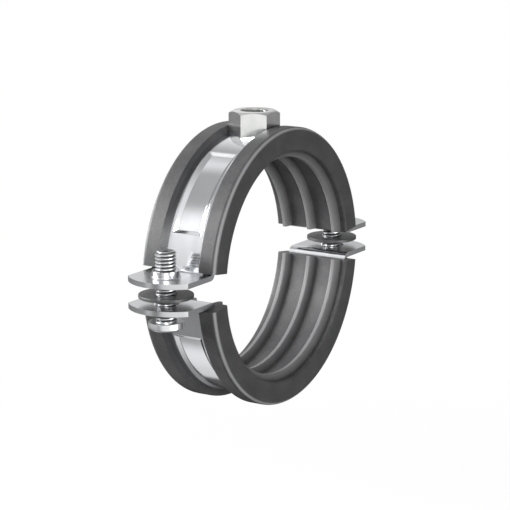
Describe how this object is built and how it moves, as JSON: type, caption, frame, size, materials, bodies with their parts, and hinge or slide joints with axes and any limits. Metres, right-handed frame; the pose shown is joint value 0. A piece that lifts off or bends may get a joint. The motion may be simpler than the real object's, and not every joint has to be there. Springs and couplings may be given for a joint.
{
  "type": "rubber lined pipe clamp",
  "caption": "Two-piece steel pipe clamp with a ribbed rubber lining, a welded nut for a threaded rod and a side screw at each pair of ears.",
  "frame": {"origin": "on the axis of the pipe, half way along the band", "axes": "+Y along the pipe, +Z towards the rod nut, +X towards the right-hand ears"},
  "size_m": [0.11, 0.0248, 0.0863],
  "materials": {
    "zinc_strip": "bright zinc plating on pressed strip",
    "zinc_nut": "zinc plating, satin",
    "zinc_screw": "zinc plating, bright",
    "rubber": "matt extruded rubber",
    "black_plastic": "moulded, matt"
  },
  "bodies": {
    "upper_half": {"upper_band": "zinc_strip", "upper_lining": "rubber", "rod_nut": "zinc_nut"},
    "lower_half": {"lower_band": "zinc_strip", "lower_lining": "rubber"},
    "left_screw": {"left_screw": "zinc_screw"},
    "right_screw": {"right_screw": "zinc_screw"},
    "left_washer": {"left_washer": "black_plastic"},
    "right_washer": {"right_washer": "black_plastic"}
  },
  "joints": [
    {"name": "lower_half_slide", "type": "slide", "parent": "upper_half", "child": "lower_half", "axis": [0, 0, 1], "range_m": [-0.007, 0.0051]},
    {"name": "left_screw_turn", "type": "hinge", "parent": "lower_half", "child": "left_screw", "pos_m": [-0.0463, 0, 0], "axis": [0, 0, 1], "range_deg": [-2521, 1837]},
    {"name": "right_screw_turn", "type": "hinge", "parent": "lower_half", "child": "right_screw", "pos_m": [0.0463, 0, 0], "axis": [0, 0, 1], "range_deg": [-2521, 1837]},
    {"name": "left_washer_slide", "type": "slide", "parent": "lower_half", "child": "left_washer", "axis": [0, 0, 1], "range_m": [-0.0019, 0.00261]},
    {"name": "right_washer_slide", "type": "slide", "parent": "lower_half", "child": "right_washer", "axis": [0, 0, 1], "range_m": [-0.0019, 0.00261]}
  ],
  "couplings": [
    {"joint": "left_screw_turn", "follows": "lower_half_slide", "rad_per_m": 6283.2},
    {"joint": "right_screw_turn", "follows": "lower_half_slide", "rad_per_m": 6283.2},
    {"joint": "left_washer_slide", "follows": "lower_half_slide", "ratio": -0.37255},
    {"joint": "right_washer_slide", "follows": "lower_half_slide", "ratio": -0.37255}
  ]
}
